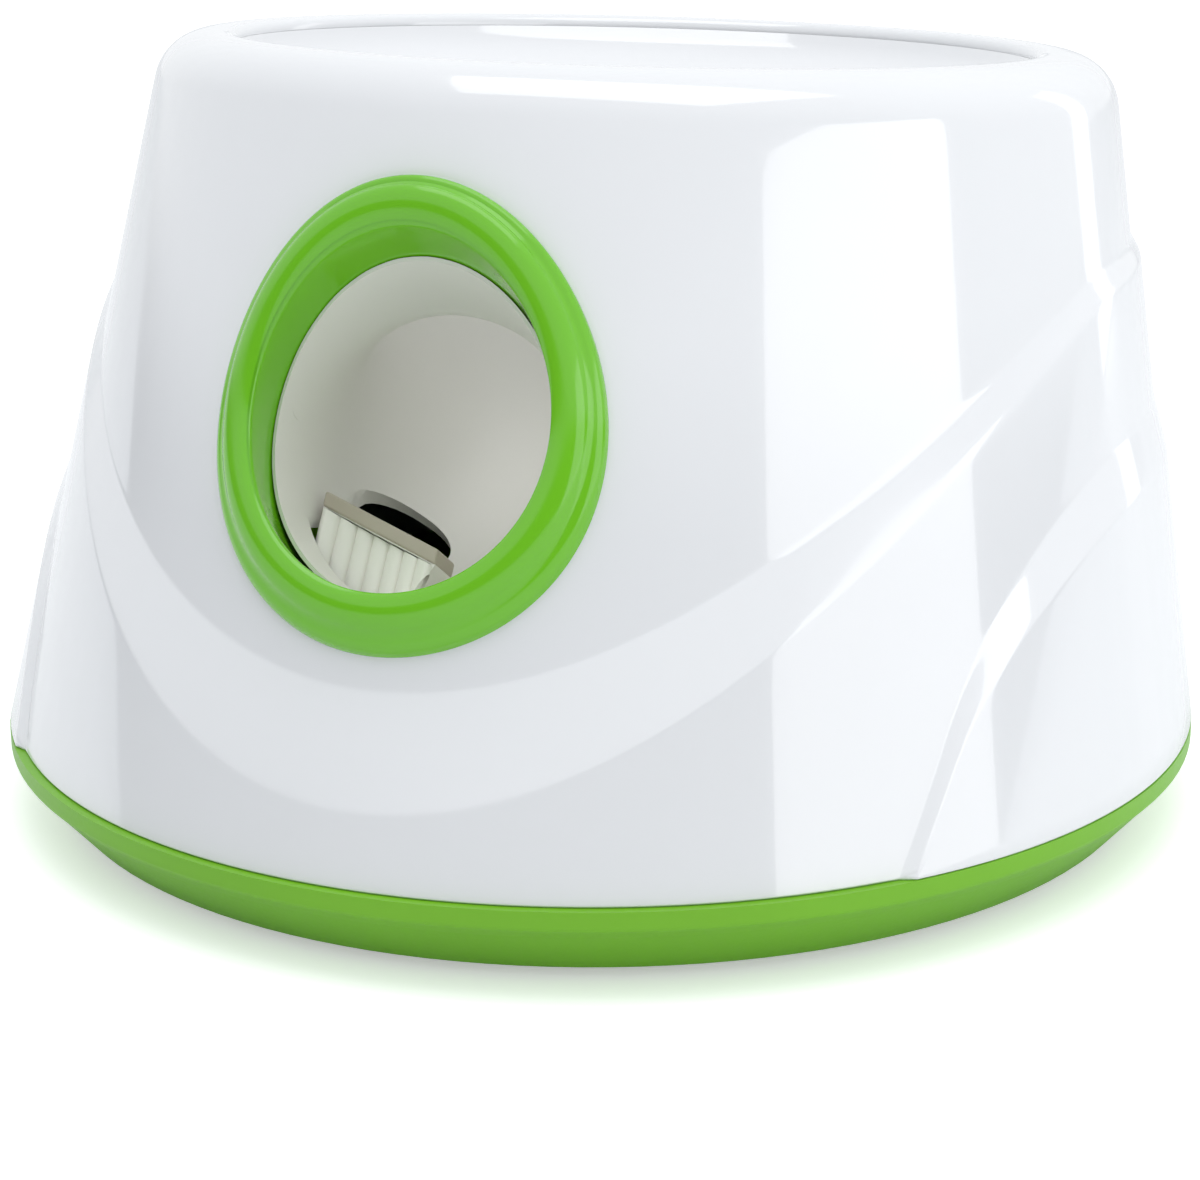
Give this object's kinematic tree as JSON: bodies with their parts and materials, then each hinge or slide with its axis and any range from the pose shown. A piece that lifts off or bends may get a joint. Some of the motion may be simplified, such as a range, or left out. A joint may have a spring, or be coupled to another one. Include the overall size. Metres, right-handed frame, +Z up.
{
  "type": "automatic dog ball launcher",
  "caption": "Round launcher whose open funnel drops a ball to a spring-driven arm that throws it out of a ringed port.",
  "frame": {"origin": "on the ground, under the middle of the base's widest circle", "axes": "+Z up, launch port towards -Y, control panel towards +Y, +X to the right seen from the port"},
  "size_m": [0.3, 0.3, 0.1936],
  "materials": {
    "white_abs": "high gloss",
    "green_gloss": "high gloss",
    "green_satin": "satin",
    "off_white": "smooth satin",
    "ivory": "satin",
    "natural_nylon": "satin",
    "white_acetal": "satin",
    "black_plastic": "satin",
    "grey_plastic": "satin",
    "steel": "bright",
    "spring_steel": "drawn wire",
    "zinc_screws": "zinc plated",
    "bronze": "sintered",
    "nickel_contact": "nickel plated",
    "cell_jacket": "printed jacket, left plain",
    "circuit_board": "solder mask",
    "board_black": "moulded",
    "lens": "clear, frosted",
    "sensor_black": "dark tinted",
    "rubber": "matt"
  },
  "bodies": {
    "housing": {"upper_shell": "white_abs", "hopper_bowl": "white_abs", "port_ring": "green_gloss", "launch_chute": "off_white", "base_pan": "green_satin", "arm_bushings": "bronze", "arm_bracket": "steel", "gearbox_plate": "grey_plastic", "gearbox_cover": "grey_plastic", "drive_shaft": "steel", "compound_shaft": "steel", "winding_motor": "steel", "tension_guide": "grey_plastic", "setting_motor": "steel", "battery_tray": "grey_plastic", "battery_cells": "cell_jacket", "battery_contacts": "nickel_contact", "control_board": "circuit_board", "board_parts": "board_black", "buzzer": "black_plastic", "sensor_emitter": "sensor_black", "sensor_receiver": "sensor_black", "control_panel": "black_plastic", "panel_board": "circuit_board", "indicator_lenses": "lens", "power_jack": "black_plastic", "rubber_feet": "rubber", "case_screws": "zinc_screws", "chute_screws": "zinc_screws", "gearbox_screws": "zinc_screws", "frame_screws": "zinc_screws", "board_screws": "zinc_screws", "panel_screws": "zinc_screws"},
    "arm": {"launch_arm": "ivory", "arm_shaft": "steel", "arm_quadrant": "natural_nylon"},
    "drive_wheel": {"drive_gear": "natural_nylon"},
    "compound_wheel": {"compound_gear": "white_acetal"},
    "motor_rotor": {"motor_pinion": "bronze", "motor_shaft": "steel"},
    "carriage": {"tension_carriage": "white_acetal", "launch_spring": "spring_steel"},
    "setting_screw": {"lead_screw": "steel"},
    "door": {"battery_door": "green_satin"},
    "button": {"distance_button": "green_gloss"},
    "rocker": {"power_rocker": "black_plastic"}
  },
  "joints": [
    {"name": "arm_swing", "type": "hinge", "parent": "housing", "child": "arm", "pos_m": [0, -0.1215, 0.0492], "axis": [1, 0, 0], "range_deg": [-50, 0], "stiffness_Nm_per_rad": 0.4, "springref_deg": 57.3, "deforming": ["launch_spring"]},
    {"name": "drive_turn", "type": "hinge", "parent": "housing", "child": "drive_wheel", "pos_m": [0, -0.08269, 0.03952], "axis": [1, 0, 0], "range_deg": [0, 200]},
    {"name": "compound_turn", "type": "hinge", "parent": "housing", "child": "compound_wheel", "pos_m": [0, -0.05273, 0.04109], "axis": [1, 0, 0], "range_deg": [-657.2, 0]},
    {"name": "motor_turn", "type": "hinge", "parent": "housing", "child": "motor_rotor", "pos_m": [0, -0.03434, 0.05652], "axis": [1, 0, 0], "range_deg": [0, 2628.6]},
    {"name": "setting_screw_turn", "type": "hinge", "parent": "housing", "child": "setting_screw", "pos_m": [-0.028, 0, 0.025], "axis": [0, 1, 0], "range_deg": [-450, 450]},
    {"name": "carriage_slide", "type": "slide", "parent": "housing", "child": "carriage", "axis": [0, 1, 0], "range_m": [-0.01, 0.01]},
    {"name": "battery_door_swing", "type": "hinge", "parent": "housing", "child": "door", "pos_m": [0, 0.0245, 0.0045], "axis": [1, 0, 0], "range_deg": [-80, 0]},
    {"name": "distance_button_press", "type": "slide", "parent": "housing", "child": "button", "axis": [0, -1, 0], "range_m": [0, 0.0015], "stiffness_N_per_m": 800, "springref_m": -0.001},
    {"name": "power_rocker_tilt", "type": "hinge", "parent": "housing", "child": "rocker", "pos_m": [0.02, 0.1369, 0.074], "axis": [1, 0, 0], "range_deg": [-14, 0]}
  ],
  "couplings": [
    {"joint": "drive_turn", "follows": "arm_swing", "ratio": -4},
    {"joint": "compound_turn", "follows": "arm_swing", "ratio": 13.143},
    {"joint": "motor_turn", "follows": "arm_swing", "ratio": -52.571},
    {"joint": "setting_screw_turn", "follows": "carriage_slide", "rad_per_m": 785.4}
  ]
}
